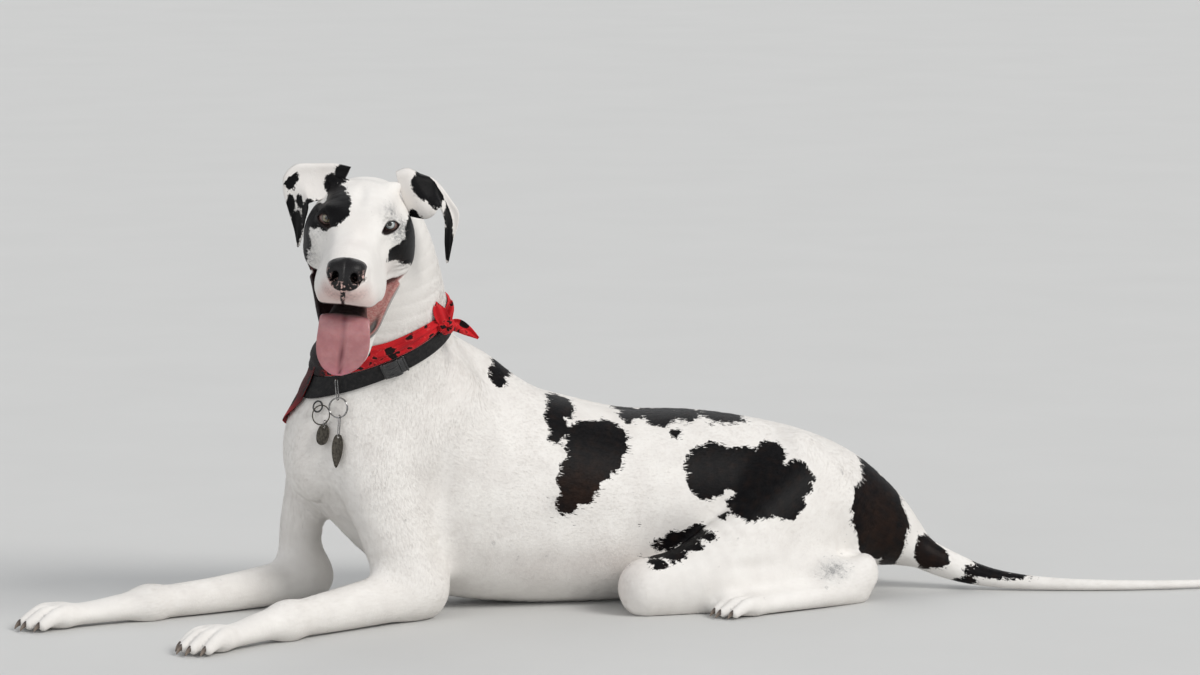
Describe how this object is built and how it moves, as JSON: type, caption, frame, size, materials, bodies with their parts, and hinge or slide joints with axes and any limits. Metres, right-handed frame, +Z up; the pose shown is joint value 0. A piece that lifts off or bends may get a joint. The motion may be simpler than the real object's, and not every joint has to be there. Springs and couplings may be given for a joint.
{
  "type": "great dane",
  "caption": "Harlequin great dane lying on its chest with its head turned, mouth open and tongue out, in a collar, knotted bandana and tags: a still life-size model.",
  "frame": {"origin": "on the floor that the dog lies on, at the middle of its trunk, on the flat underside of the belly", "axes": "+X from the head towards the tail, along the trunk; +Y towards the dog's right side, away from the picture's camera; +Z up"},
  "size_m": [2.0026, 0.6804, 0.7289],
  "materials": {
    "coat": null,
    "nose_pad": "moist black nose pad with pinkish flecks",
    "tongue": null,
    "eye": "glossy, one olive iris and one pale blue-grey iris",
    "webbing": "black woven nylon webbing",
    "buckle": "black moulded plastic with a slight sheen",
    "cloth": null,
    "ring_metal": "bright steel wire",
    "tag_metal": "dark blank tag with a worn bright rim"
  },
  "bodies": {
    "root": {"lower_jaw": "coat", "head": "coat", "ear_left": "coat", "ear_right": "coat", "neck": "coat", "tail": "coat", "paw_front_left": "coat", "forearm_left": "coat", "upper_arm_left": "coat", "paw_front_right": "coat", "forearm_right": "coat", "upper_arm_right": "coat", "paw_hind_left": "coat", "thigh_left": "coat", "lower_leg_left": "coat", "paw_hind_right": "coat", "thigh_right": "coat", "lower_leg_right": "coat", "torso": "coat", "tongue": "tongue", "nose": "nose_pad", "eye_left": "eye", "eye_right": "eye", "buckle": "buckle", "collar": "webbing", "bandana": "cloth", "bandana_knot": "cloth", "collar_link": "ring_metal", "split_ring": "ring_metal", "tag_link": "ring_metal", "tag_long": "tag_metal", "d_ring": "ring_metal", "tag_ring": "ring_metal", "tag_eye": "ring_metal", "tag_round": "tag_metal"}
  },
  "joints": []
}
